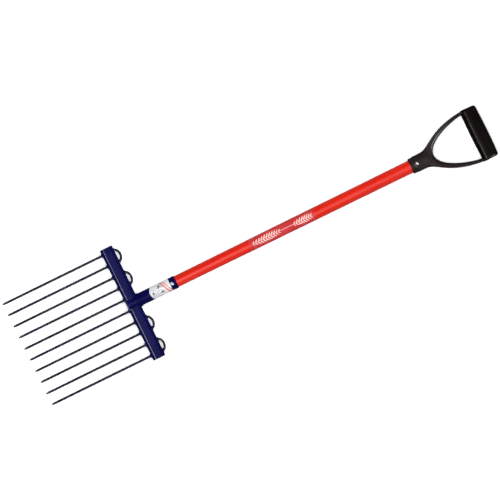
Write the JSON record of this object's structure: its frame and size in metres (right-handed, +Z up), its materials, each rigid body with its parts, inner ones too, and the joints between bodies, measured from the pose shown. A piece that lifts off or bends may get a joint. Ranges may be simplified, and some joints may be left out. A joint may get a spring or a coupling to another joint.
{
  "type": "lawn aerator fork",
  "caption": "Long-handled hand fork with straight wire tines in a cross bar, a steel socket, a tapering shaft and a D-shaped grip, for spiking and scratching turf.",
  "frame": {"origin": "centre of the bounding box's base; the fork lies face up on the ground", "axes": "+X along the tool from the tine tips to the grip, +Y across the head, +Z up from the ground"},
  "size_m": [1.1782, 0.281, 0.0407],
  "materials": {
    "navy_paint": "gloss",
    "spring_wire": "satin",
    "weld": "gloss",
    "fastener": "satin",
    "label_foil": "satin",
    "red_paint": "gloss",
    "decal_film": "gloss",
    "plug_wood": "matte",
    "grip_plastic": "satin"
  },
  "bodies": {
    "root": {"head_bar": "navy_paint", "bar_end_plate_left": "navy_paint", "bar_end_plate_right": "navy_paint", "tine_pair_1": "spring_wire", "tine_pair_2": "spring_wire", "tine_pair_3": "spring_wire", "tine_pair_4": "spring_wire", "tine_pair_5": "spring_wire", "tine_front_welds": "weld", "tine_rear_welds": "weld", "socket_tube": "navy_paint", "socket_weld": "weld", "socket_rivet": "fastener", "socket_rivet_washer": "fastener", "socket_label": "label_foil", "shaft_tube": "red_paint", "shaft_lower_plug": "plug_wood", "shaft_upper_plug": "plug_wood", "shaft_decal": "decal_film", "grip_body": "grip_plastic", "grip_screw": "fastener"}
  },
  "joints": []
}
